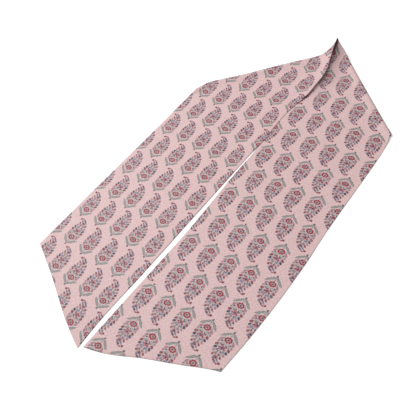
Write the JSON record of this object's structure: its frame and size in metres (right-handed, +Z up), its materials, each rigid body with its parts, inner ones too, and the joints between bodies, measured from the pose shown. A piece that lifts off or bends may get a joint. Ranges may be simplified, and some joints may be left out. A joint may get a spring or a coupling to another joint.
{
  "type": "skinny silk scarf, laid flat and folded twice",
  "caption": "Skinny silk scarf with slanted ends, laid flat: two long tails side by side, joined by a short neck stretch folded beneath them, with a soft raised peak where the folds meet.",
  "frame": {"origin": "middle of the underside of the laid-out scarf's box, on the surface it lies on", "axes": "+Y along the two tails towards the folded neck stretch, +X across the tails towards the right-hand tail, +Z up from the surface"},
  "size_m": [0.2504, 0.4756, 0.0207],
  "materials": {
    "printed_silk": "soft satin silk twill, dusty pink, with a small printed paisley in crimson, slate blue and grey-green"
  },
  "bodies": {
    "root": {"left_tail": "printed_silk", "neck_stretch": "printed_silk", "right_tail": "printed_silk"}
  },
  "joints": []
}
